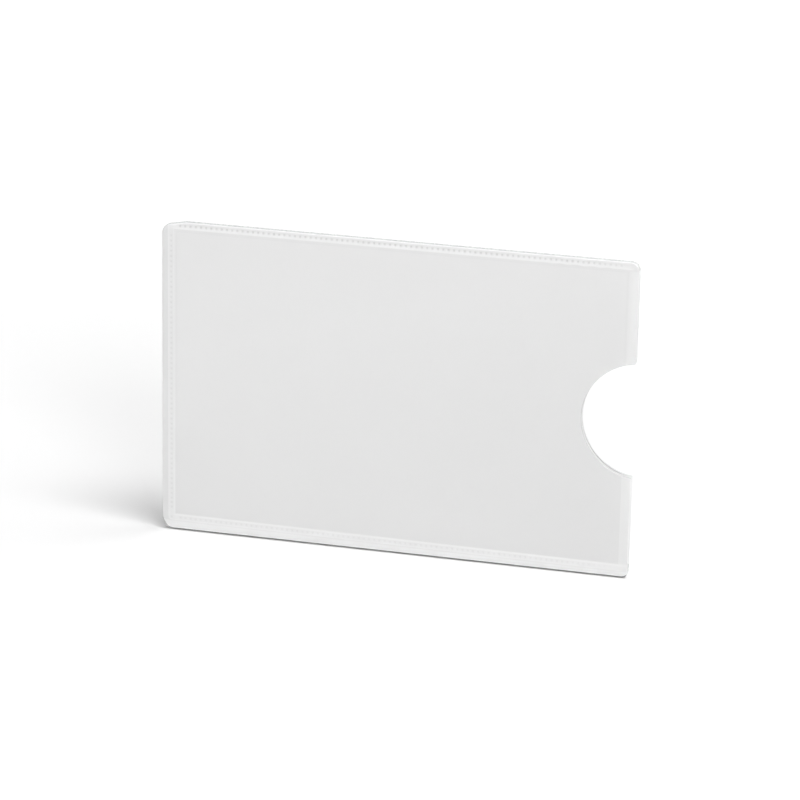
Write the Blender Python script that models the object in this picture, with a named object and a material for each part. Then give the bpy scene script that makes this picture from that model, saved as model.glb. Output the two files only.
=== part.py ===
"""Card holder: two plastic films welded together on three sides, each lined with a thin opaque sheet.

X runs along the holder towards its open mouth, Y goes through it from front to back, and Z is up.
The holder stands on its long bottom edge, and the origin is the middle of that edge's underside.
"""
import math

import bmesh
import bpy
from mathutils import Matrix, Vector

# The card that the pocket takes, and how loosely it lies in the pocket
CARD_LENGTH = 0.0856
CARD_HEIGHT = 0.05398
CARD_THICKNESS = 0.00076
LENGTH_SLACK = 0.0018
HEIGHT_SLACK = 0.00292
THICKNESS_SLACK = 0.00008

# Sheets, and the gap that keeps bonded faces from touching
FILM_THICKNESS = 0.00025
LINER_THICKNESS = 0.00008
BOND_GAP = 0.00003

# Weld: a pressed groove with a row of small square dents, and plain film on both sides of it
GROOVE_WIDTH = 0.0011
GROOVE_DEPTH = 0.00008
GROOVE_TO_POCKET = 0.0002
END_MARGIN = 0.0013
BOTTOM_MARGIN = 0.0013
TOP_MARGIN = 0.0002
DENT_PITCH = 0.001
DENT_SIZE = 0.0005
DENT_DEPTH = 0.00006

# Open end: the liners stop short of the mouth, and a round thumb notch goes through every sheet
MOUTH_STRIP = 0.00175
NOTCH_RADIUS = 0.0114
NOTCH_CENTRE_PAST_MOUTH = 0.0017

# Corners
END_CORNER_RADIUS = 0.0022
MOUTH_CORNER_RADIUS = 0.0012
POCKET_CORNER_RADIUS = 0.0008
LINER_CORNER_RADIUS = 0.0005
LINER_CLEARANCE = 0.00015

# How far a cutter runs past what it cuts
OVERRUN = 0.002

# Fineness and shading
CORNER_STEPS = 8
NOTCH_STEPS = 128
SHARP_ANGLE = math.radians(30)

# Places that follow from the sizes
POCKET_HEIGHT = CARD_HEIGHT + HEIGHT_SLACK
POCKET_LENGTH = CARD_LENGTH + LENGTH_SLACK
POCKET_DEPTH = CARD_THICKNESS + THICKNESS_SLACK
WELD_INNER = GROOVE_WIDTH + GROOVE_TO_POCKET
HOLDER_LENGTH = END_MARGIN + WELD_INNER + POCKET_LENGTH
HOLDER_HEIGHT = BOTTOM_MARGIN + WELD_INNER + POCKET_HEIGHT + WELD_INNER + TOP_MARGIN
END_X = -HOLDER_LENGTH / 2
MOUTH_X = HOLDER_LENGTH / 2
GROOVE_END_X = MOUTH_X - MOUTH_STRIP
POCKET_X = END_X + END_MARGIN + WELD_INNER
POCKET_BOTTOM_Z = BOTTOM_MARGIN + WELD_INNER
POCKET_TOP_Z = POCKET_BOTTOM_Z + POCKET_HEIGHT
LINER_Y = POCKET_DEPTH / 2
FILM_Y = LINER_Y + LINER_THICKNESS + BOND_GAP
OUTER_Y = FILM_Y + FILM_THICKNESS
WELD_Y = FILM_Y - BOND_GAP

FRONT = -1
BACK = 1


def make_collection(name):
    """A new collection in the scene."""
    collection = bpy.data.collections.new(name)
    bpy.context.scene.collection.children.link(collection)
    return collection


def make_material(name, colour, roughness):
    """A plain plastic or coated sheet of one colour."""
    material = bpy.data.materials.new(name)
    material.use_nodes = True
    shader = material.node_tree.nodes["Principled BSDF"]
    shader.inputs["Base Color"].default_value = (*colour, 1.0)
    shader.inputs["Roughness"].default_value = roughness
    shader.inputs["Metallic"].default_value = 0.0
    return material


def make_object(name, mesh_source, collection, centre, material=None):
    """Writes a bmesh to a named object whose origin is its centre."""
    mesh = bpy.data.meshes.new(name)
    mesh_source.to_mesh(mesh)
    mesh_source.free()
    made = bpy.data.objects.new(name, mesh)
    made.location = centre
    collection.objects.link(made)
    if material:
        mesh.materials.append(material)
    else:
        made.hide_render = True
        made.display_type = "WIRE"
    return made


def make_plate(name, low, high, end_radius, mouth_radius, collection, material=None):
    """A flat plate between two corners. Its outline's corners are round, or square at a radius of 0."""
    low, high = Vector(low), Vector(high)
    size = high - low
    plate = bmesh.new()
    bmesh.ops.create_cube(plate, size=1.0, matrix=Matrix.Diagonal((*size, 1.0)))
    through = [edge for edge in plate.edges if is_through(edge)]
    at_end = [edge for edge in through if edge.verts[0].co.x < 0]
    at_mouth = [edge for edge in through if edge.verts[0].co.x > 0]
    for edges, radius in ((at_end, end_radius), (at_mouth, mouth_radius)):
        if radius:
            bmesh.ops.bevel(plate, geom=edges, offset=radius, segments=CORNER_STEPS, profile=0.5,
                            affect="EDGES", clamp_overlap=True)
    return make_object(name, plate, collection, (low + high) / 2, material)


def is_through(edge):
    """Whether an edge runs straight through the sheet, along Y."""
    run = edge.verts[1].co - edge.verts[0].co
    return abs(run.y) > max(abs(run.x), abs(run.z))


def cut(target, cutter):
    """Takes the cutter's shape out of the target."""
    modifier = target.modifiers.new(cutter.name, "BOOLEAN")
    modifier.operation = "DIFFERENCE"
    modifier.solver = "EXACT"
    modifier.object = cutter


def settle(target):
    """Makes the cuts plain geometry, so that flat faces stay flat and round ones are shaded smooth."""
    graph = bpy.context.evaluated_depsgraph_get()
    before = target.data
    after = bpy.data.meshes.new_from_object(target.evaluated_get(graph))
    target.modifiers.clear()
    target.data = after
    bpy.data.meshes.remove(before)
    after.name = target.name
    after.shade_smooth()
    after.set_sharp_from_angle(angle=SHARP_ANGLE)


def between(side, inner, outer):
    """The low and high Y of a layer that lies from inner to outer on one side of the pocket."""
    return sorted((side * inner, side * outer))


def make_notch_cutter(cutters):
    """A cylinder through the whole holder, centred on the pocket's height."""
    turn = Matrix.Rotation(math.radians(90), 4, "X")
    notch = bmesh.new()
    bmesh.ops.create_cone(notch, cap_ends=True, segments=NOTCH_STEPS, radius1=NOTCH_RADIUS,
                          radius2=NOTCH_RADIUS, depth=2 * (OUTER_Y + OVERRUN), matrix=turn)
    middle_z = (POCKET_BOTTOM_Z + POCKET_TOP_Z) / 2
    centre = Vector((MOUTH_X + NOTCH_CENTRE_PAST_MOUTH, 0, middle_z))
    return make_object("thumb_notch_cutter", notch, cutters, centre)


def make_pocket_cutter(cutters):
    """The card's space, open past the mouth."""
    low = (POCKET_X, -OUTER_Y - OVERRUN, POCKET_BOTTOM_Z)
    high = (MOUTH_X + OVERRUN, OUTER_Y + OVERRUN, POCKET_TOP_Z)
    return make_plate("pocket_cutter", low, high, POCKET_CORNER_RADIUS, 0, cutters)


def make_groove_cutter(side, label, cutters):
    """The weld's groove along three edges of one film, as deep as it is pressed."""
    floor_y = OUTER_Y - GROOVE_DEPTH
    low_y, high_y = between(side, floor_y, OUTER_Y + OVERRUN)
    low = (END_X + END_MARGIN, low_y, BOTTOM_MARGIN)
    high = (GROOVE_END_X, high_y, HOLDER_HEIGHT - TOP_MARGIN)
    outer_radius = END_CORNER_RADIUS - TOP_MARGIN
    groove = make_plate(label + "_groove_cutter", low, high, outer_radius, 0, cutters)
    low_y, high_y = between(side, floor_y - OVERRUN, OUTER_Y + OVERRUN + OVERRUN)
    low = (END_X + END_MARGIN + GROOVE_WIDTH, low_y, BOTTOM_MARGIN + GROOVE_WIDTH)
    high = (MOUTH_X + OVERRUN, high_y, HOLDER_HEIGHT - TOP_MARGIN - GROOVE_WIDTH)
    land = make_plate(label + "_land", low, high, POCKET_CORNER_RADIUS, 0, cutters)
    cut(groove, land)
    return groove


def dent_places():
    """The X and Z of each dent: along the bottom and the top from the closed end, and up that end."""
    first_x = END_X + END_MARGIN + GROOVE_WIDTH / 2
    low_z = BOTTOM_MARGIN + GROOVE_WIDTH / 2
    high_z = HOLDER_HEIGHT - TOP_MARGIN - GROOVE_WIDTH / 2
    along = int((GROOVE_END_X - DENT_SIZE - first_x) / DENT_PITCH) + 1
    up = round((high_z - low_z) / DENT_PITCH)
    step_z = (high_z - low_z) / up
    places = [(first_x, low_z + step_z * row) for row in range(1, up)]
    for row_z in (low_z, high_z):
        places += [(first_x + DENT_PITCH * column, row_z) for column in range(1, along)]
    return places


def make_dent_cutter(side, label, cutters):
    """One small block for each dent in the groove's floor."""
    floor_y = OUTER_Y - GROOVE_DEPTH
    low_y, high_y = between(side, floor_y - DENT_DEPTH, OUTER_Y + OVERRUN)
    size = Matrix.Diagonal((DENT_SIZE, high_y - low_y, DENT_SIZE, 1.0))
    dents = bmesh.new()
    for x, z in dent_places():
        bmesh.ops.create_cube(dents, size=1.0, matrix=Matrix.Translation((x, 0, z)) @ size)
    centre = Vector((0, (low_y + high_y) / 2, 0))
    return make_object(label + "_dent_cutter", dents, cutters, centre)


def make_film(side, label, material, holder, cutters, notch):
    """One outer film: the full outline, with the notch and the pressed weld pattern on its outside."""
    low_y, high_y = between(side, FILM_Y, OUTER_Y)
    film = make_plate(label + "_film", (END_X, low_y, 0), (MOUTH_X, high_y, HOLDER_HEIGHT),
                      END_CORNER_RADIUS, MOUTH_CORNER_RADIUS, holder, material)
    cut(film, notch)
    cut(film, make_groove_cutter(side, label, cutters))
    cut(film, make_dent_cutter(side, label, cutters))
    settle(film)


def make_liner(side, label, material, holder, notch):
    """One inner sheet, bonded inside its film, that stops short of the weld and of the mouth."""
    low_y, high_y = between(side, LINER_Y, LINER_Y + LINER_THICKNESS)
    low = (POCKET_X + LINER_CLEARANCE, low_y, POCKET_BOTTOM_Z + LINER_CLEARANCE)
    high = (MOUTH_X - MOUTH_STRIP, high_y, POCKET_TOP_Z - LINER_CLEARANCE)
    liner = make_plate(label + "_liner", low, high, LINER_CORNER_RADIUS, LINER_CORNER_RADIUS,
                       holder, material)
    cut(liner, notch)
    settle(liner)


def make_weld_rim(material, holder, cutters):
    """The fused rim that joins the films along the closed end, the bottom and the top."""
    rim = make_plate("weld_rim", (END_X, -WELD_Y, 0), (MOUTH_X, WELD_Y, HOLDER_HEIGHT),
                     END_CORNER_RADIUS, MOUTH_CORNER_RADIUS, holder, material)
    cut(rim, make_pocket_cutter(cutters))
    settle(rim)


def main():
    for old in list(bpy.data.objects):
        bpy.data.objects.remove(old)
    holder = make_collection("card_holder")
    cutters = make_collection("cutters")
    film = make_material("frosted_film", (0.83, 0.83, 0.83), 0.35)
    liner = make_material("grey_liner", (0.72, 0.72, 0.72), 0.6)
    weld = make_material("fused_film", (0.88, 0.88, 0.88), 0.25)
    notch = make_notch_cutter(cutters)
    for side, label in ((FRONT, "front"), (BACK, "back")):
        make_film(side, label, film, holder, cutters, notch)
        make_liner(side, label, liner, holder, notch)
    make_weld_rim(weld, holder, cutters)


main()
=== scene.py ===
import math
import random

import bmesh
import bpy
from mathutils import Matrix, Vector


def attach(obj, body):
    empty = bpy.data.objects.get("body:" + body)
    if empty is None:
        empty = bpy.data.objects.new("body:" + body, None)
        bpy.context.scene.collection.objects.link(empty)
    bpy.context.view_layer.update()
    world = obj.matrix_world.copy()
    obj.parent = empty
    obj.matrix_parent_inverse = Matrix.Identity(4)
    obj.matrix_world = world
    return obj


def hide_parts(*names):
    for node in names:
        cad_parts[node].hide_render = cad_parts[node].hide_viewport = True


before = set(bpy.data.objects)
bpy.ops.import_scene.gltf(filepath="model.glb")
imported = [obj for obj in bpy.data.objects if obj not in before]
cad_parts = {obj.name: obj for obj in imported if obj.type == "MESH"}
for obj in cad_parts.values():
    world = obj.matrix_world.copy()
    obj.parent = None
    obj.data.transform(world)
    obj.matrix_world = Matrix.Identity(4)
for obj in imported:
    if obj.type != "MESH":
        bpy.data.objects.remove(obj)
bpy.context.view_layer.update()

# Shapes are drawn in millimetres and scaled to metres when they become pieces
MM = 0.001

# Where the photograph was taken from, in degrees and metres, and with which lens
CAMERA_AZIMUTH = 13.81
CAMERA_ELEVATION = 19.16
CAMERA_ROLL = 1.09
CAMERA_DISTANCE = 0.6909
CAMERA_TARGET = (0.00097, 0.0, 0.0303)
CAMERA_LENS = 168.0

# The axes on which places for cuts are given, and the two sides of the holder
X = 0
Z = 2
FRONT = -1
BACK = 1

# The holder's outline, closed at the left end and open at the right one
END_X = -45.0
MOUTH_X = 45.0
TOP_Z = 61.0
END_CORNER = 2.2
MOUTH_CORNER = 1.2
TOP_MOUTH_CORNER = 1.6
CORNER_STEPS = 10
END_DROP = 0.47
END_DROP_X = -40.3

# The thumb notch, part of a circle whose centre lies past the mouth, with its two ends rounded
NOTCH_X = 46.4
NOTCH_Z = 30.85
NOTCH_RADIUS = 11.1
NOTCH_STEPS = 80
NOTCH_END_ROUND = 0.12

# How far the films lie back from the fused rim's edge
END_SETBACK = 0.08
TOP_SETBACK = 0.05
FOOT_SETBACK = 0.33

# From this height down, the rim narrows to a share of its thickness at the floor
FOOT_HEIGHT = 0.55
FOOT_SHARE = 0.12

# Layers, measured out from the middle of the pocket
FILM_INNER = 0.53
FILM_OUTER = 0.78
RIM_HALF = 0.50

# The pocket's border, where the holder begins to thin towards its edge, and how much each face sinks
POCKET_X = -42.4
POCKET_LOW_Z = 2.6
POCKET_HIGH_Z = 59.5
POCKET_CORNER = 0.8
POCKET_CORNER_STEPS = 4
END_SINK = 0.25
LOW_SINK = 0.08
TOP_SINK = 0.16

# The weld: a raised band with a bead along each side, which fades out just before the mouth
WELD_X = -43.10
WELD_LOW_Z = 2.30
WELD_HIGH_Z = 60.25
WELD_END_X = 43.25
WELD_STOP = 0.4
WELD_FADE = 1.0
RIB_HALF = 0.30
RIB_HEIGHT = 0.015
BEAD_PLACE = 0.54
TOP_BEAD_PLACE = 0.47
BEAD_FALL = 0.20
BEAD_HEIGHT = 0.030

# The row of small square dents between the beads, pressed less clearly at the bottom and the mouth
DENT_START_X = -43.35
DENT_PITCH = 1.0
DENTS_ALONG = 85
DENTS_UP = 58
DENT_HALF = 0.25
DENT_WALL = 0.09
DENT_DEPTH = 0.07
SHALLOWEST_DENT = 0.75
DENT_SEED = 11
LOW_DENT_SHARE = 0.35
END_DENT_SHARE = 0.4
MOUTH_DENT_LOSS = 0.5
DENT_LOSS_X = 33
DENT_LOSS_REACH = 8

# Where the film's outer face is cut: inwards and outwards from the weld's middle, and at the mouth
FIELD_INSET = 0.04
FOOT_GROOVE_LINE = -1.58
INNER_LINES = (0.25, 0.33, 0.43, 0.54, 0.65, 0.76, 0.88, 1.05, 1.30)
OUTER_LINES = (-0.25, -0.33, -0.43, -0.54, -0.65, -0.76, -0.95)
TOP_OUTER_LINES = (-0.25, -0.33, -0.40, -0.47, -0.55)
LOW_OUTER_LINES = (-1.25, FOOT_GROOVE_LINE)
MOUTH_LINES = (42.6, 42.95, 43.2, 43.3, 44.4)

# The faint groove above the foot, and the slant of the bottom weld against the cut edge. The four
# numbers of a hill are its start, the length of its rise, its end and the length of its fall
FOOT_GROOVE = 0.035
FOOT_GROOVE_REACH = 0.02
LOW_SLANT = 0.0065
LOW_SLANT_HILL = (0.6, 0.6, 3.7, 4.0)

# The wave on the inner side of the top weld, near the mouth, with a hill across it and one along it
WAVE_HEIGHT = 0.07
WAVE_RATE = 2.1
WAVE_START = 0.5
WAVE_ACROSS = (0.1, 0.3, 0.8, 0.5)
WAVE_ALONG = (26, 4, 39, 3)

# Where the liner backs the film: inside the pocket's border and short of the mouth, with painted shade
# along a crease at its border
LINED_FROM = 0.76
LINED_FULL = 0.88
LINED_END_X = WELD_END_X + 0.05
LINED_END_FADE = 0.1
CREASE_PLACE = 1.05
CREASE_REACH = 0.25
CREASE_SHADE_SHARE = 0.3
MOUTH_CREASE_REACH = 0.35
STRIP_END_FADE = 0.1
STRIP_SIDE_FADE = 0.2

# How much painted shade darkens the film's cut edge in the notch, at the mouth and elsewhere, and how far
# it reaches
NOTCH_EDGE_SHADE_SHARE = 0.45
MOUTH_EDGE_SHADE_SHARE = 0.1
BORDER_EDGE_SHADE_SHARE = 0.24
EDGE_FROM = 0.05
EDGE_TO = 0.65
NOTCH_EDGE_REACH = 0.08
MOUTH_EDGE_REACH = 0.2
FOOT_EDGE_CLEAR = 0.3

# How much painted highlight the top weld's outer bead gets, and how far the painted highlight on the
# border below the bottom weld fades in
TOP_BEAD_HIGHLIGHT_SHARE = 0.2
TOP_BEAD_FROM = 0.2
FOOT_HIGHLIGHT_FADE = 0.3

# Rounded edges
FILM_EDGE_ROUND = 0.10
FILM_INNER_ROUND = 0.03
RIM_EDGE_ROUND = 0.14
EDGE_STEPS = 3
SMOOTH_UNDER = math.radians(50)

# How near counts as the same: points, a point and a cut, depths, and a face's middle and a line
SAME_POINT = 0.001
SAME_CUT = 0.0005
SAME_DEPTH = 0.0001
SAME_MIDDLE = 0.01
SHORTEST_EDGE = 0.002

# What the film's points say to its material, among them a painted highlight on the beads and painted
# shade in the dents, along the crease and on the cut edge
FILM_MARKS = ("bead_highlight", "dent", "lined", "crease_shade", "open", "edge")

# Greys, from dark to light where there are two, and how much higher the closed end counts in them. The
# panel's and the strip's two greys are painted light and shade, paler towards the top and the closed end
FILM_GREYS = (0.845, 0.865)
PANEL_PAINTED_LIGHT_GREYS = (0.775, 0.873)
STRIP_PAINTED_LIGHT_GREYS = (0.80, 0.905)
# Painted shade along the crease at the liner's border
CREASE_SHADE_GREY = 0.79
# A painted highlight on the weld's beads and on the border below the bottom weld
BEAD_HIGHLIGHT_GREY = 0.94
# Painted shade in the dents
DENT_SHADE_GREY = 0.75
# Painted shade on the film's cut edge
CUT_EDGE_SHADE_GREY = 0.42
# The rim's greys are darker than the film's: painted shade on its cut faces
RIM_SHADED_GREYS = (0.60, 0.66)
# Painted shade in the recess of the rim's foot
RECESS_SHADE_GREY = 0.08
LINER_GREYS = (0.93, 0.96)
END_PAINTED_LIGHT_RISE = 0.44

# The floor: how it looks, what light it throws back, and where it is lifted to white
FLOOR_HALF = 3.0
FLOOR_BOUNCE_GREY = 0.78
FLOOR_SEEN_GREY = 0.93
LIFT_NEAR = 0.05
LIFT_FAR = 1.2
LIFT_MOST = 0.96

# The soft light from all round, and how bright it is where the camera or a reflection sees it
SKY_STRENGTH = 0.09
SKY_SEEN = 1.0

# Lamps: azimuth and elevation in degrees, distance, width and height in metres, power in watts.
# They face the target, and one of them is left out of reflections
LAMP_TARGET = (0.0, 0.0, 0.03)
UNMIRRORED_LAMP = "low_back"
LAMPS = {
    "key": (60.0, 62.0, 1.6, 0.48, 0.48, 7.15),
    "overhead": (58.0, 76.0, 1.1, 0.44, 1.80, 5.7),
    "side": (76.0, 56.0, 1.4, 0.30, 0.30, 1.85),
    "high_back_right": (110.0, 60.0, 1.2, 0.48, 0.72, 3.5),
    "front_right": (33.0, 29.0, 2.4, 0.77, 0.77, 15.1),
    "front_left": (-35.0, 18.0, 0.8, 0.24, 0.24, 1.1),
    "low_back": (200.0, 2.0, 1.2, 0.30, 0.10, 2.2),
}


def make_camera():
    """The photograph's camera, turned a little about its own line of sight."""
    azimuth = math.radians(CAMERA_AZIMUTH)
    elevation = math.radians(CAMERA_ELEVATION)
    level = math.cos(elevation)
    back = Vector((math.sin(azimuth) * level, -math.cos(azimuth) * level, math.sin(elevation)))
    right = Vector((math.cos(azimuth), math.sin(azimuth), 0.0))
    up = back.cross(right)
    roll = Matrix.Rotation(math.radians(CAMERA_ROLL), 3, "Z")
    turn = Matrix((right, up, back)).transposed() @ roll
    camera = bpy.data.objects.new("camera", bpy.data.cameras.new("camera"))
    camera.location = Vector(CAMERA_TARGET) + back * CAMERA_DISTANCE
    camera.rotation_euler = turn.to_euler()
    camera.data.lens = CAMERA_LENS
    camera.data.clip_start = 0.01
    camera.data.clip_end = 20.0
    bpy.context.scene.collection.objects.link(camera)
    bpy.context.scene.camera = camera


def ease(value):
    """A smooth step from 0 to 1."""
    value = min(max(value, 0.0), 1.0)
    return value * value * (3 - 2 * value)


def hill(value, start, rise, end, fall):
    """A smooth hill: 0 up to its start, 1 after the rise, and back to 0 in a fall after its end."""
    return ease((value - start) / rise) * (1 - ease((value - end) / fall))


def draw_line(shape, tip, x, z):
    """Draws a straight edge from the tip to a place and returns the new tip."""
    new_tip = bmesh.ops.extrude_vert_indiv(shape, verts=[tip])["verts"][0]
    new_tip.co = (x, tip.co.y, z)
    return new_tip


def draw_arc(shape, tip, x, z, degrees, steps):
    """Draws an arc about a centre and returns the new tip. Seen from the front, it runs clockwise
    where the degrees are positive."""
    turned = bmesh.ops.spin(shape, geom=[tip], cent=(x, tip.co.y, z), axis=(0, 1, 0),
                            angle=math.radians(degrees), steps=steps)
    return turned["geom_last"][0]


def draw_top_corners(shape, tip, end, high, corner):
    """Draws the outline's top, which drops a little before the closed end's corner."""
    tip = draw_arc(shape, tip, MOUTH_X - corner, high - corner, -90, CORNER_STEPS)
    tip = draw_line(shape, tip, END_DROP_X, high)
    tip = draw_line(shape, tip, end + END_CORNER, high - END_DROP)
    return draw_arc(shape, tip, end + END_CORNER, high - END_DROP - END_CORNER, -90, CORNER_STEPS)


def fill_and_thicken(shape, depth):
    """Closes the drawn line to a face and pulls it out to a sheet."""
    bmesh.ops.remove_doubles(shape, verts=shape.verts, dist=SAME_POINT)
    bmesh.ops.contextual_create(shape, geom=shape.edges[:])
    pulled = bmesh.ops.extrude_face_region(shape, geom=shape.faces[:])
    moved = [item for item in pulled["geom"] if isinstance(item, bmesh.types.BMVert)]
    bmesh.ops.translate(shape, verts=moved, vec=(0, depth, 0))
    bmesh.ops.recalc_face_normals(shape, faces=shape.faces)


def at_depth(item, depth):
    """Whether all of an edge or face lies at one depth."""
    return all(abs(vert.co.y - depth) < SAME_DEPTH for vert in item.verts)


def round_edges(shape, depth, radius, steps):
    """Rounds the outline's edge at one depth."""
    outline = [edge for edge in shape.edges if at_depth(edge, depth)]
    bmesh.ops.bevel(shape, geom=outline, offset=radius, segments=steps, profile=0.5, affect="EDGES",
                    material=-1)


def cut_at(shape, faces, axis, place):
    """Cuts some of the faces along a straight line, at a place on the X or the Z axis. The edges and
    corners that they share are listed once."""
    parts = dict.fromkeys(faces)
    for face in faces:
        parts.update(dict.fromkeys(face.edges))
        parts.update(dict.fromkeys(face.verts))
    direction = Vector((0, 0, 0))
    direction[axis] = 1
    bmesh.ops.bisect_plane(shape, geom=list(parts), dist=SAME_CUT, plane_co=direction * place,
                           plane_no=direction)


def spans(face, axis, place):
    """Whether a place along an axis lies inside a face's reach."""
    places = [vert.co[axis] for vert in face.verts]
    return min(places) < place < max(places)


def draw_film(side):
    """A plain film: the whole outline with the thumb notch, from its inner face to its outer one."""
    low = FOOT_SETBACK
    high = TOP_Z - TOP_SETBACK
    end = END_X + END_SETBACK
    past_mouth = NOTCH_X - MOUTH_X
    half_chord = math.sqrt(NOTCH_RADIUS ** 2 - past_mouth ** 2)
    notch_turn = 180 - 2 * math.degrees(math.asin(past_mouth / NOTCH_RADIUS))
    film = bmesh.new()
    tip = film.verts.new((end + END_CORNER, side * FILM_INNER, low))
    tip = draw_line(film, tip, MOUTH_X - MOUTH_CORNER, low)
    tip = draw_arc(film, tip, MOUTH_X - MOUTH_CORNER, low + MOUTH_CORNER, -90, CORNER_STEPS)
    tip = draw_line(film, tip, MOUTH_X, NOTCH_Z - half_chord)
    lower_end = tip
    tip = draw_arc(film, tip, NOTCH_X, NOTCH_Z, notch_turn, NOTCH_STEPS)
    upper_end = tip
    tip = draw_line(film, tip, MOUTH_X, high - TOP_MOUTH_CORNER)
    tip = draw_top_corners(film, tip, end, high, TOP_MOUTH_CORNER)
    tip = draw_line(film, tip, end, low + END_CORNER)
    draw_arc(film, tip, end + END_CORNER, low + END_CORNER, -90, CORNER_STEPS)
    bmesh.ops.bevel(film, geom=[lower_end, upper_end], offset=NOTCH_END_ROUND, segments=EDGE_STEPS,
                    profile=0.5, affect="VERTICES", material=-1)
    fill_and_thicken(film, side * (FILM_OUTER - FILM_INNER))
    return film


def field_faces(film):
    """The faces of the film's outer field, a mark that cut parts inherit."""
    field = film.faces.layers.int["field"]
    return [face for face in film.faces if face[field]]


def near_long_weld(face):
    """Whether a face lies along the bottom or the top weld."""
    z = face.calc_center_bounds().z
    return abs(z - WELD_LOW_Z) < LINED_FROM or abs(z - WELD_HIGH_Z) < LINED_FROM


def near_end_weld(face):
    """Whether a face lies along the weld of the closed end."""
    return abs(face.calc_center_bounds().x - WELD_X) < LINED_FROM


def cut_weld_lines(film, side):
    """Cuts the outer face into lines along the weld, and across it at both sides of each dent."""
    outer_faces = [face for face in film.faces if at_depth(face, side * FILM_OUTER)]
    face = max(outer_faces, key=lambda item: item.calc_area())
    bmesh.ops.inset_region(film, faces=[face], thickness=FIELD_INSET, use_even_offset=True)
    face[film.faces.layers.int["field"]] = 1
    for line in INNER_LINES + OUTER_LINES:
        cut_at(film, field_faces(film), X, WELD_X + line)
        cut_at(film, field_faces(film), Z, WELD_LOW_Z + line)
    for line in INNER_LINES + TOP_OUTER_LINES:
        cut_at(film, field_faces(film), Z, WELD_HIGH_Z - line)
    for line in LOW_OUTER_LINES:
        cut_at(film, field_faces(film), Z, WELD_LOW_Z + line)
    for x in MOUTH_LINES:
        cut_at(film, field_faces(film), X, x)
    for column in range(1, DENTS_ALONG + 1):
        for edge in (-DENT_HALF, DENT_HALF):
            x = DENT_START_X + DENT_PITCH * column + edge
            strip = [face for face in field_faces(film) if near_long_weld(face) and spans(face, X, x)]
            cut_at(film, strip, X, x)
    step = (WELD_HIGH_Z - WELD_LOW_Z) / DENTS_UP
    for row in range(1, DENTS_UP):
        for edge in (-DENT_HALF, DENT_HALF):
            z = WELD_LOW_Z + step * row + edge
            strip = [face for face in field_faces(film) if near_end_weld(face) and spans(face, Z, z)]
            cut_at(film, strip, Z, z)


def off_step(place, step):
    """How far a place is from the nearest step of a row that starts at zero."""
    return abs(place / step - round(place / step)) * step


def is_dent(face):
    """Whether a face is one of the dents between the weld's beads, and not a rib between two dents."""
    middle = face.calc_center_bounds()
    on_long = min(abs(middle.z - WELD_LOW_Z), abs(middle.z - WELD_HIGH_Z)) < SAME_MIDDLE
    on_end = abs(middle.x - WELD_X) < SAME_MIDDLE
    if not (on_long or on_end) or middle.x > WELD_END_X - DENT_HALF:
        return False
    if on_long and on_end:
        return True
    if on_long:
        return off_step(middle.x - DENT_START_X, DENT_PITCH) < SAME_MIDDLE
    return off_step(middle.z - WELD_LOW_Z, (WELD_HIGH_Z - WELD_LOW_Z) / DENTS_UP) < SAME_MIDDLE


def dent_share(place):
    """How clearly the dents are pressed, which also sets their painted shade: best along the top, least
    along the bottom and at the mouth.
    """
    share = LOW_DENT_SHARE if place.z < WELD_LOW_Z + 2 * DENT_HALF else END_DENT_SHARE
    if place.z > WELD_HIGH_Z - 2 * DENT_HALF:
        share = 1.0
    return share * (1 - MOUTH_DENT_LOSS * ease((place.x - DENT_LOSS_X) / DENT_LOSS_REACH))


def mark_dents(film):
    """Insets each dent's face and notes on its corners how deep it goes, which also sets how much painted
    shade it gets.
    """
    dent = film.verts.layers.float["dent"]
    dents = [face for face in field_faces(film) if is_dent(face)]
    bmesh.ops.inset_individual(film, faces=dents, thickness=DENT_WALL, use_even_offset=True)
    chance = random.Random(DENT_SEED)
    for face in dents:
        depth = chance.uniform(SHALLOWEST_DENT, 1.0) * dent_share(face.calc_center_bounds())
        for vert in face.verts:
            vert[dent] = depth


def weld_height(x, z):
    """How far the weld's band stands out of the film's face."""
    inside_end = x - WELD_X
    inside_low = z - WELD_LOW_Z
    inside_high = WELD_HIGH_Z - z
    across = min(inside_end, inside_low, inside_high)
    nearest_long = min(inside_low, inside_high)
    if inside_end < 0 and nearest_long < 0:
        across = -math.hypot(inside_end, nearest_long)
    bead_place = TOP_BEAD_PLACE if across < 0 and inside_high == across else BEAD_PLACE
    away = abs(across)
    if away <= bead_place:
        to_bead = ease((away - RIB_HALF) / (bead_place - RIB_HALF))
        height = RIB_HEIGHT + (BEAD_HEIGHT - RIB_HEIGHT) * to_bead
    else:
        height = BEAD_HEIGHT * (1 - ease((away - bead_place) / BEAD_FALL))
    return height * ease((MOUTH_X - WELD_STOP - x) / WELD_FADE)


def edge_sink(x, z):
    """How much nearer to the middle each face lies at a place, because the weld thins the holder."""
    to_end = max(0.0, (POCKET_X - x) / (POCKET_X - END_X))
    to_low = max(0.0, (POCKET_LOW_Z - z) / POCKET_LOW_Z)
    to_high = max(0.0, (z - POCKET_HIGH_Z) / (TOP_Z - POCKET_HIGH_Z))
    return END_SINK * to_end + LOW_SINK * to_low + TOP_SINK * to_high


def foot_groove(z):
    """How deep the faint groove just above the foot is."""
    return FOOT_GROOVE if abs(z - WELD_LOW_Z - FOOT_GROOVE_LINE) < FOOT_GROOVE_REACH else 0.0


def low_slant(x, z):
    """How far the bottom weld lies above its middle height, because it slants against the cut edge."""
    return -LOW_SLANT * x * hill(z, *LOW_SLANT_HILL)


def border_wave(x, z):
    """The slight waviness of the top weld's inner side near the mouth."""
    across = hill(WELD_HIGH_Z - z, *WAVE_ACROSS)
    along = hill(x, *WAVE_ALONG)
    return WAVE_HEIGHT * math.sin(x * WAVE_RATE + WAVE_START) * across * along


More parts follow.
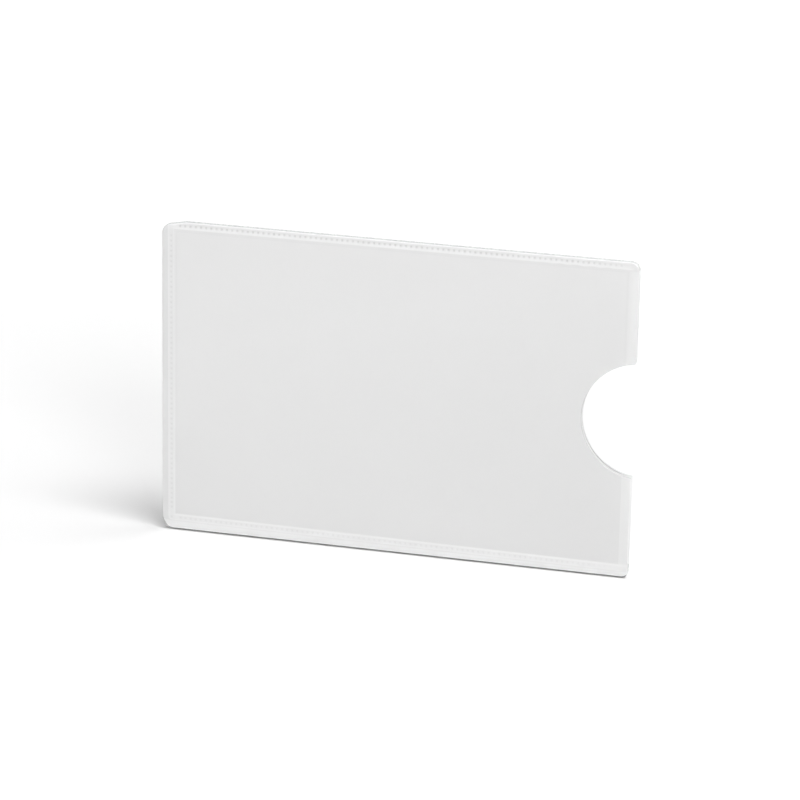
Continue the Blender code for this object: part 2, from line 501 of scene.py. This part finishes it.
def bead_highlight_mark(z, height, share):
    """How much painted highlight the weld's relief puts on the film, most on its beads. Below the bottom
    weld, the border carries a painted highlight too.
    """
    bead_highlight_share = TOP_BEAD_HIGHLIGHT_SHARE if z > WELD_HIGH_Z + TOP_BEAD_FROM else 1.0
    foot_highlight = ease((WELD_LOW_Z - BEAD_PLACE - z) / FOOT_HIGHLIGHT_FADE)
    return max(max(0.0, height) / BEAD_HEIGHT * share * bead_highlight_share, foot_highlight)


def lined_marks(x, z):
    """How far the liner shows at a place, and how much painted shade lies along the crease at its border
    and near the mouth.
    """
    inside = min(x - WELD_X, z - WELD_LOW_Z, WELD_HIGH_Z - z)
    from_end = LINED_END_X - x
    lined = min(1.0, max(0.0, (inside - LINED_FROM) / (LINED_FULL - LINED_FROM)))
    lined = min(lined, max(0.0, from_end / LINED_END_FADE))
    crease_shade = max(0.0, 1 - abs(inside - CREASE_PLACE) / CREASE_REACH)
    if inside > CREASE_PLACE:
        crease_shade = max(crease_shade, 1 - abs(from_end - MOUTH_CREASE_REACH) / MOUTH_CREASE_REACH)
    return lined, CREASE_SHADE_SHARE * crease_shade * lined


def open_mark(x, z):
    """How far a place belongs to the strip at the mouth, where no liner backs the film."""
    inside = min(z - WELD_LOW_Z, WELD_HIGH_Z - z)
    return ease((x - WELD_END_X) / STRIP_END_FADE) * ease((inside - LINED_FROM) / STRIP_SIDE_FADE)


def edge_shade_mark(x, z, share):
    """How much painted shade the film's cut edge gets: most in the notch, least at the mouth, not at all
    at the foot.
    """
    if math.hypot(x - NOTCH_X, z - NOTCH_Z) < NOTCH_RADIUS + NOTCH_EDGE_REACH:
        return NOTCH_EDGE_SHADE_SHARE if share > EDGE_FROM else 0.0
    if not EDGE_FROM < share < EDGE_TO or z < FOOT_SETBACK + FOOT_EDGE_CLEAR:
        return 0.0
    return MOUTH_EDGE_SHADE_SHARE if x > MOUTH_X - MOUTH_EDGE_REACH else BORDER_EDGE_SHADE_SHARE


def press_weld(film, side):
    """Raises the weld's band and beads, presses its dents, thins the border, and marks every point."""
    mark_dents(film)
    for axis, place in ((X, POCKET_X), (Z, POCKET_LOW_Z), (Z, POCKET_HIGH_Z)):
        cut_at(film, [face for face in film.faces if at_depth(face, side * FILM_INNER)], axis, place)
    bead_highlight, dent, lined, crease_shade, open_film, edge = (film.verts.layers.float[name] for name in FILM_MARKS)
    for vert in film.verts:
        x, y, z = vert.co
        height = weld_height(x, z)
        share = (abs(y) - FILM_INNER) / (FILM_OUTER - FILM_INNER)
        out = (height - DENT_DEPTH * vert[dent] - foot_groove(z)) * share - edge_sink(x, z)
        vert.co.y = y + side * out
        vert.co.z = z + border_wave(x, z) + low_slant(x, z)
        # The marks below also carry painted light: a highlight on the beads and the border below the
        # weld, and shade in the dents, along the crease and on the cut edge
        vert[bead_highlight] = bead_highlight_mark(z, height, share)
        vert[lined], vert[crease_shade] = lined_marks(x, z)
        vert[open_film] = open_mark(x, z)
        vert[edge] = edge_shade_mark(x, z, share)


def make_piece(name, shape, material, node):
    """Turns a drawn shape into a piece that stands for a node of the frame."""
    bmesh.ops.dissolve_degenerate(shape, edges=shape.edges, dist=SHORTEST_EDGE)
    bmesh.ops.scale(shape, vec=(MM, MM, MM), verts=shape.verts)
    bmesh.ops.recalc_face_normals(shape, faces=shape.faces)
    mesh = bpy.data.meshes.new(name)
    shape.to_mesh(mesh)
    shape.free()
    mesh.shade_smooth()
    mesh.set_sharp_from_angle(angle=SMOOTH_UNDER)
    mesh.materials.append(material)
    piece = bpy.data.objects.new(name, mesh)
    bpy.context.scene.collection.objects.link(piece)
    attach(piece, "root")
    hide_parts(node)


def make_film(side, label, material):
    """One outer film with its pressed weld."""
    film = draw_film(side)
    round_edges(film, side * FILM_OUTER, FILM_EDGE_ROUND, EDGE_STEPS)
    round_edges(film, side * FILM_INNER, FILM_INNER_ROUND, 1)
    film.faces.layers.int.new("field")
    for name in FILM_MARKS:
        film.verts.layers.float.new(name)
    cut_weld_lines(film, side)
    press_weld(film, side)
    make_piece(label + "_film_pressed", film, material, label + "_film")


def draw_rim():
    """The plain fused rim, a U lying on its side round the pocket."""
    pocket_x = POCKET_X + POCKET_CORNER
    rim = bmesh.new()
    tip = rim.verts.new((END_X + END_CORNER, -RIM_HALF, 0))
    tip = draw_line(rim, tip, MOUTH_X - MOUTH_CORNER, 0)
    tip = draw_arc(rim, tip, MOUTH_X - MOUTH_CORNER, MOUTH_CORNER, -90, CORNER_STEPS)
    tip = draw_line(rim, tip, MOUTH_X, POCKET_LOW_Z)
    tip = draw_line(rim, tip, pocket_x, POCKET_LOW_Z)
    tip = draw_arc(rim, tip, pocket_x, POCKET_LOW_Z + POCKET_CORNER, 90, POCKET_CORNER_STEPS)
    tip = draw_line(rim, tip, POCKET_X, POCKET_HIGH_Z - POCKET_CORNER)
    tip = draw_arc(rim, tip, pocket_x, POCKET_HIGH_Z - POCKET_CORNER, 90, POCKET_CORNER_STEPS)
    tip = draw_line(rim, tip, MOUTH_X, POCKET_HIGH_Z)
    tip = draw_top_corners(rim, tip, END_X, TOP_Z, TOP_Z - POCKET_HIGH_Z)
    tip = draw_line(rim, tip, END_X, END_CORNER)
    draw_arc(rim, tip, END_X + END_CORNER, END_CORNER, -90, CORNER_STEPS)
    fill_and_thicken(rim, 2 * RIM_HALF)
    return rim


def make_rim(material):
    """The fused rim between the films, thinned towards its edge and narrowed at its foot, which carries
    painted shade.
    """
    rim = draw_rim()
    for depth in (-RIM_HALF, RIM_HALF):
        round_edges(rim, depth, RIM_EDGE_ROUND, EDGE_STEPS)
    for x in (POCKET_X, MOUTH_X - MOUTH_CORNER):
        cut_at(rim, rim.faces[:], X, x)
    for z in (FOOT_HEIGHT, POCKET_LOW_Z, POCKET_HIGH_Z):
        cut_at(rim, rim.faces[:], Z, z)
    # How much painted shade darkens the rim's foot, full at the floor
    recess_shade = rim.verts.layers.float.new("recess_shade")
    for vert in rim.verts:
        x, y, z = vert.co
        vert[recess_shade] = 1 - ease(z / FOOT_HEIGHT)
        foot = FOOT_SHARE + (1 - FOOT_SHARE) * min(1.0, z / FOOT_HEIGHT)
        vert.co.y = y * (1 - edge_sink(x, z) / RIM_HALF) * foot
    make_piece("weld_rim_fused", rim, material, "weld_rim")


def add_node(tree, kind, x, y, **inputs):
    """A node at a place in the tree, with values on its inputs by name."""
    node = tree.nodes.new(kind)
    node.location = (x, y)
    for name, value in inputs.items():
        node.inputs[name.replace("_", " ")].default_value = value
    return node


def add_math(tree, operation, x, y):
    """A math node at a place in the tree."""
    node = add_node(tree, "ShaderNodeMath", x, y)
    node.operation = operation
    return node


def grey(value):
    """An opaque grey."""
    return (value, value, value, 1.0)


def add_grey_mix(tree, greys, x, y):
    """A mix of two greys."""
    mix = add_node(tree, "ShaderNodeMix", x, y)
    mix.data_type = "RGBA"
    mix.inputs["A"].default_value = grey(greys[0])
    mix.inputs["B"].default_value = grey(greys[1])
    return mix


def make_grain_group():
    """Surface grain of a plastic sheet: cloudy patches, fine grain, and the height of both."""
    group = bpy.data.node_groups.new("sheet_grain", "ShaderNodeTree")
    for name in ("Grain Scale", "Cloud Scale"):
        group.interface.new_socket(name=name, in_out="INPUT", socket_type="NodeSocketFloat")
    for name in ("Cloud", "Grain", "Height"):
        group.interface.new_socket(name=name, in_out="OUTPUT", socket_type="NodeSocketFloat")
    start = add_node(group, "NodeGroupInput", -700, 0)
    end = add_node(group, "NodeGroupOutput", 300, 0)
    place = add_node(group, "ShaderNodeTexCoord", -700, 250)
    cloud = add_node(group, "ShaderNodeTexNoise", -400, 200, Detail=3.0, Roughness=0.55)
    grain = add_node(group, "ShaderNodeTexNoise", -400, -100, Detail=2.0, Roughness=0.6)
    both = add_math(group, "MULTIPLY_ADD", -50, 0)
    cloud_share = both.inputs[1]
    cloud_share.default_value = 0.35
    links = group.links
    for noise in (cloud, grain):
        links.new(place.outputs["Object"], noise.inputs["Vector"])
    links.new(start.outputs["Cloud Scale"], cloud.inputs["Scale"])
    links.new(start.outputs["Grain Scale"], grain.inputs["Scale"])
    links.new(cloud.outputs["Fac"], both.inputs[0])
    links.new(grain.outputs["Fac"], both.inputs[2])
    links.new(cloud.outputs["Fac"], end.inputs["Cloud"])
    links.new(grain.outputs["Fac"], end.inputs["Grain"])
    links.new(both.outputs["Value"], end.inputs["Height"])
    return group


def make_sheet_material(name, grain_group, greys, roughness, grain_scale, cloud_scale, bump):
    """A plastic sheet whose tone and gloss vary a little with its grain."""
    material = bpy.data.materials.new(name)
    material.use_nodes = True
    tree = material.node_tree
    shader = tree.nodes["Principled BSDF"]
    grain = add_node(tree, "ShaderNodeGroup", -1100, 0)
    grain.node_tree = grain_group
    grain.inputs["Grain Scale"].default_value = grain_scale
    grain.inputs["Cloud Scale"].default_value = cloud_scale
    tone = add_grey_mix(tree, greys, -800, 200)
    gloss = add_node(tree, "ShaderNodeMapRange", -800, -100, From_Min=0.3, From_Max=0.7,
                     To_Min=roughness[0], To_Max=roughness[1])
    relief = add_node(tree, "ShaderNodeBump", -350, -300, Strength=bump, Distance=0.00002)
    links = tree.links
    links.new(grain.outputs["Cloud"], tone.inputs["Factor"])
    links.new(grain.outputs["Grain"], gloss.inputs["Value"])
    links.new(grain.outputs["Height"], relief.inputs["Height"])
    links.new(tone.outputs["Result"], shader.inputs["Base Color"])
    links.new(gloss.outputs["Result"], shader.inputs["Roughness"])
    links.new(relief.outputs["Normal"], shader.inputs["Normal"])
    return material


def lay_tone(tree, mark, tone, x):
    """Lays a grey, or a node's colour, over the sheet's colour where the surface carries a mark."""
    links = tree.links
    sheet_colour = tree.nodes["Principled BSDF"].inputs["Base Color"]
    below = sheet_colour.links[0].from_socket
    reader = add_node(tree, "ShaderNodeAttribute", x, 550)
    reader.attribute_name = mark
    mix = add_node(tree, "ShaderNodeMix", x, 300)
    mix.data_type = "RGBA"
    if isinstance(tone, float):
        mix.inputs["B"].default_value = grey(tone)
    else:
        links.new(tone, mix.inputs["B"])
    links.new(reader.outputs["Fac"], mix.inputs["Factor"])
    links.new(below, mix.inputs["A"])
    links.new(mix.outputs["Result"], sheet_colour)


def measure_painted_light(tree):
    """How high up a place is, from 0 to 1, counted higher towards the closed end, for painted light that
    grows paler with it.
    """
    place = add_node(tree, "ShaderNodeTexCoord", -1900, 900)
    parts = add_node(tree, "ShaderNodeSeparateXYZ", -1700, 900)
    height = add_node(tree, "ShaderNodeMapRange", -1500, 900, From_Max=TOP_Z * MM)
    along = add_node(tree, "ShaderNodeMapRange", -1500, 1200, From_Min=MOUTH_X * MM,
                     From_Max=END_X * MM, To_Max=END_PAINTED_LIGHT_RISE)
    total = add_math(tree, "ADD", -1300, 900)
    links = tree.links
    links.new(place.outputs["Object"], parts.inputs["Vector"])
    links.new(parts.outputs["Z"], height.inputs["Value"])
    links.new(parts.outputs["X"], along.inputs["Value"])
    links.new(height.outputs["Result"], total.inputs[0])
    links.new(along.outputs["Result"], total.inputs[1])
    return total.outputs["Value"]


def blend_painted_light_up(tree, rise, greys, y):
    """Painted light and shade: a grey that goes from one tone at the bottom to a paler one at the top."""
    mix = add_grey_mix(tree, greys, -1150, y)
    tree.links.new(rise, mix.inputs["Factor"])
    return mix.outputs["Result"]


def let_light_through(shader, share, depth):
    """Lets some light pass through a thin sheet and come out elsewhere."""
    shader.inputs["Subsurface Weight"].default_value = share
    shader.inputs["Subsurface Radius"].default_value = (1.0, 1.0, 1.0)
    shader.inputs["Subsurface Scale"].default_value = depth


def make_film_material(grain_group):
    """Frosted film: darker where the liner backs it, with painted light that grows paler towards the top
    and the closed end, a painted highlight on the weld's beads, and painted shade in its dents, along the
    crease and on its cut edge.
    """
    material = make_sheet_material(
        "frosted_film", grain_group, greys=FILM_GREYS, roughness=(0.32, 0.42), grain_scale=7000.0,
        cloud_scale=220.0, bump=0.2)
    tree = material.node_tree
    shader = tree.nodes["Principled BSDF"]
    shader.inputs["IOR"].default_value = 1.49
    let_light_through(shader, share=0.25, depth=0.0008)
    rise = measure_painted_light(tree)
    # Painted light and shade among these tones: the panel and the strip grow paler upwards, the beads
    # carry a painted highlight, and the dents, the crease and the cut edge carry painted shade
    tones = {
        "lined": blend_painted_light_up(tree, rise, PANEL_PAINTED_LIGHT_GREYS, 850),
        "crease_shade": CREASE_SHADE_GREY,
        "open": blend_painted_light_up(tree, rise, STRIP_PAINTED_LIGHT_GREYS, 1100),
        "bead_highlight": BEAD_HIGHLIGHT_GREY,
        "dent": DENT_SHADE_GREY,
        "edge": CUT_EDGE_SHADE_GREY,
    }
    for layer, (mark, tone) in enumerate(tones.items()):
        lay_tone(tree, mark, tone, -1000 + 150 * layer)
    return material


def make_rim_material(grain_group):
    """Plastic that melted and set again: glossier than the film, greyer than it as painted shade on its
    cut faces, and with painted shade in the recess of the foot.
    """
    material = make_sheet_material(
        "fused_film", grain_group, greys=RIM_SHADED_GREYS, roughness=(0.20, 0.34), grain_scale=2500.0,
        cloud_scale=500.0, bump=0.4)
    lay_tone(material.node_tree, "recess_shade", RECESS_SHADE_GREY, -450)
    return material


def make_liner_material(grain_group):
    """The opaque sheet inside each film, seen only in the slot of the notch and of the mouth."""
    return make_sheet_material(
        "opaque_liner", grain_group, greys=LINER_GREYS, roughness=(0.50, 0.62), grain_scale=5000.0,
        cloud_scale=300.0, bump=0.4)


def make_floor_material():
    """A pale floor. Where the lamps fade it is lifted to white for the camera and for reflections,
    and the light that it throws back at the holder is a little weaker than its look."""
    material = bpy.data.materials.new("white_floor")
    material.use_nodes = True
    tree = material.node_tree
    shader = tree.nodes["Principled BSDF"]
    shader.inputs["Roughness"].default_value = 0.9
    shader.inputs["Specular IOR Level"].default_value = 0.0
    shader.inputs["Emission Color"].default_value = grey(1.0)
    seen = add_node(tree, "ShaderNodeLightPath", -900, -200)
    either = add_math(tree, "MAXIMUM", -650, -200)
    tone = add_grey_mix(tree, (FLOOR_BOUNCE_GREY, FLOOR_SEEN_GREY), -400, 200)
    place = add_node(tree, "ShaderNodeTexCoord", -900, -500)
    away = add_node(tree, "ShaderNodeVectorMath", -700, -500)
    away.operation = "LENGTH"
    far = add_node(tree, "ShaderNodeMapRange", -500, -500, From_Min=LIFT_NEAR, From_Max=LIFT_FAR,
                   To_Max=LIFT_MOST)
    lift = add_math(tree, "MULTIPLY", -250, -200)
    links = tree.links
    links.new(seen.outputs["Is Camera Ray"], either.inputs[0])
    links.new(seen.outputs["Is Glossy Ray"], either.inputs[1])
    links.new(either.outputs["Value"], tone.inputs["Factor"])
    links.new(tone.outputs["Result"], shader.inputs["Base Color"])
    links.new(place.outputs["Object"], away.inputs[0])
    links.new(away.outputs["Value"], far.inputs["Value"])
    links.new(either.outputs["Value"], lift.inputs[0])
    links.new(far.outputs["Result"], lift.inputs[1])
    links.new(lift.outputs["Value"], shader.inputs["Emission Strength"])
    return material


def make_floor():
    """The floor that the holder stands on."""
    ground = bmesh.new()
    bmesh.ops.create_grid(ground, x_segments=4, y_segments=4, size=FLOOR_HALF)
    mesh = bpy.data.meshes.new("floor")
    ground.to_mesh(mesh)
    ground.free()
    mesh.materials.append(make_floor_material())
    floor = bpy.data.objects.new("floor", mesh)
    bpy.context.scene.collection.objects.link(floor)


def make_world():
    """Even soft light from all round, seen as white by the camera and in reflections."""
    world = bpy.data.worlds.new("studio")
    bpy.context.scene.world = world
    world.use_nodes = True
    tree = world.node_tree
    tree.nodes.clear()
    seen = add_node(tree, "ShaderNodeLightPath", -700, 0)
    either = add_math(tree, "MAXIMUM", -500, 0)
    any_seen = add_math(tree, "MAXIMUM", -350, 0)
    level = add_node(tree, "ShaderNodeMapRange", -150, 0, To_Min=SKY_STRENGTH, To_Max=SKY_SEEN)
    sky = add_node(tree, "ShaderNodeBackground", 50, 0, Color=grey(1.0))
    out = add_node(tree, "ShaderNodeOutputWorld", 250, 0)
    links = tree.links
    links.new(seen.outputs["Is Camera Ray"], either.inputs[0])
    links.new(seen.outputs["Is Glossy Ray"], either.inputs[1])
    links.new(either.outputs["Value"], any_seen.inputs[0])
    links.new(seen.outputs["Is Transmission Ray"], any_seen.inputs[1])
    links.new(any_seen.outputs["Value"], level.inputs["Value"])
    links.new(level.outputs["Result"], sky.inputs["Strength"])
    links.new(sky.outputs["Background"], out.inputs["Surface"])


def make_lamp(name, azimuth, elevation, distance, width, height, power):
    """A soft rectangular lamp that faces the holder."""
    turn = math.radians(azimuth)
    tilt = math.radians(elevation)
    level = math.cos(tilt)
    away = Vector((math.sin(turn) * level, -math.cos(turn) * level, math.sin(tilt)))
    light = bpy.data.lights.new(name, "AREA")
    light.shape = "RECTANGLE"
    light.size = width
    light.size_y = height
    light.energy = power
    lamp = bpy.data.objects.new(name, light)
    lamp.location = Vector(LAMP_TARGET) + away * distance
    lamp.rotation_euler = away.to_track_quat("Z", "Y").to_euler()
    lamp.visible_glossy = name != UNMIRRORED_LAMP
    bpy.context.scene.collection.objects.link(lamp)


make_camera()
grain = make_grain_group()
film_material = make_film_material(grain)
for film_side, film_label in ((FRONT, "front"), (BACK, "back")):
    make_film(film_side, film_label, film_material)
make_rim(make_rim_material(grain))
liner_material = make_liner_material(grain)
for liner_name in ("front_liner", "back_liner"):
    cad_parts[liner_name].data.materials.clear()
    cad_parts[liner_name].data.materials.append(liner_material)
make_floor()
make_world()
for lamp_name, lamp_values in LAMPS.items():
    make_lamp(lamp_name, *lamp_values)
bpy.context.scene.view_settings.view_transform = "Standard"
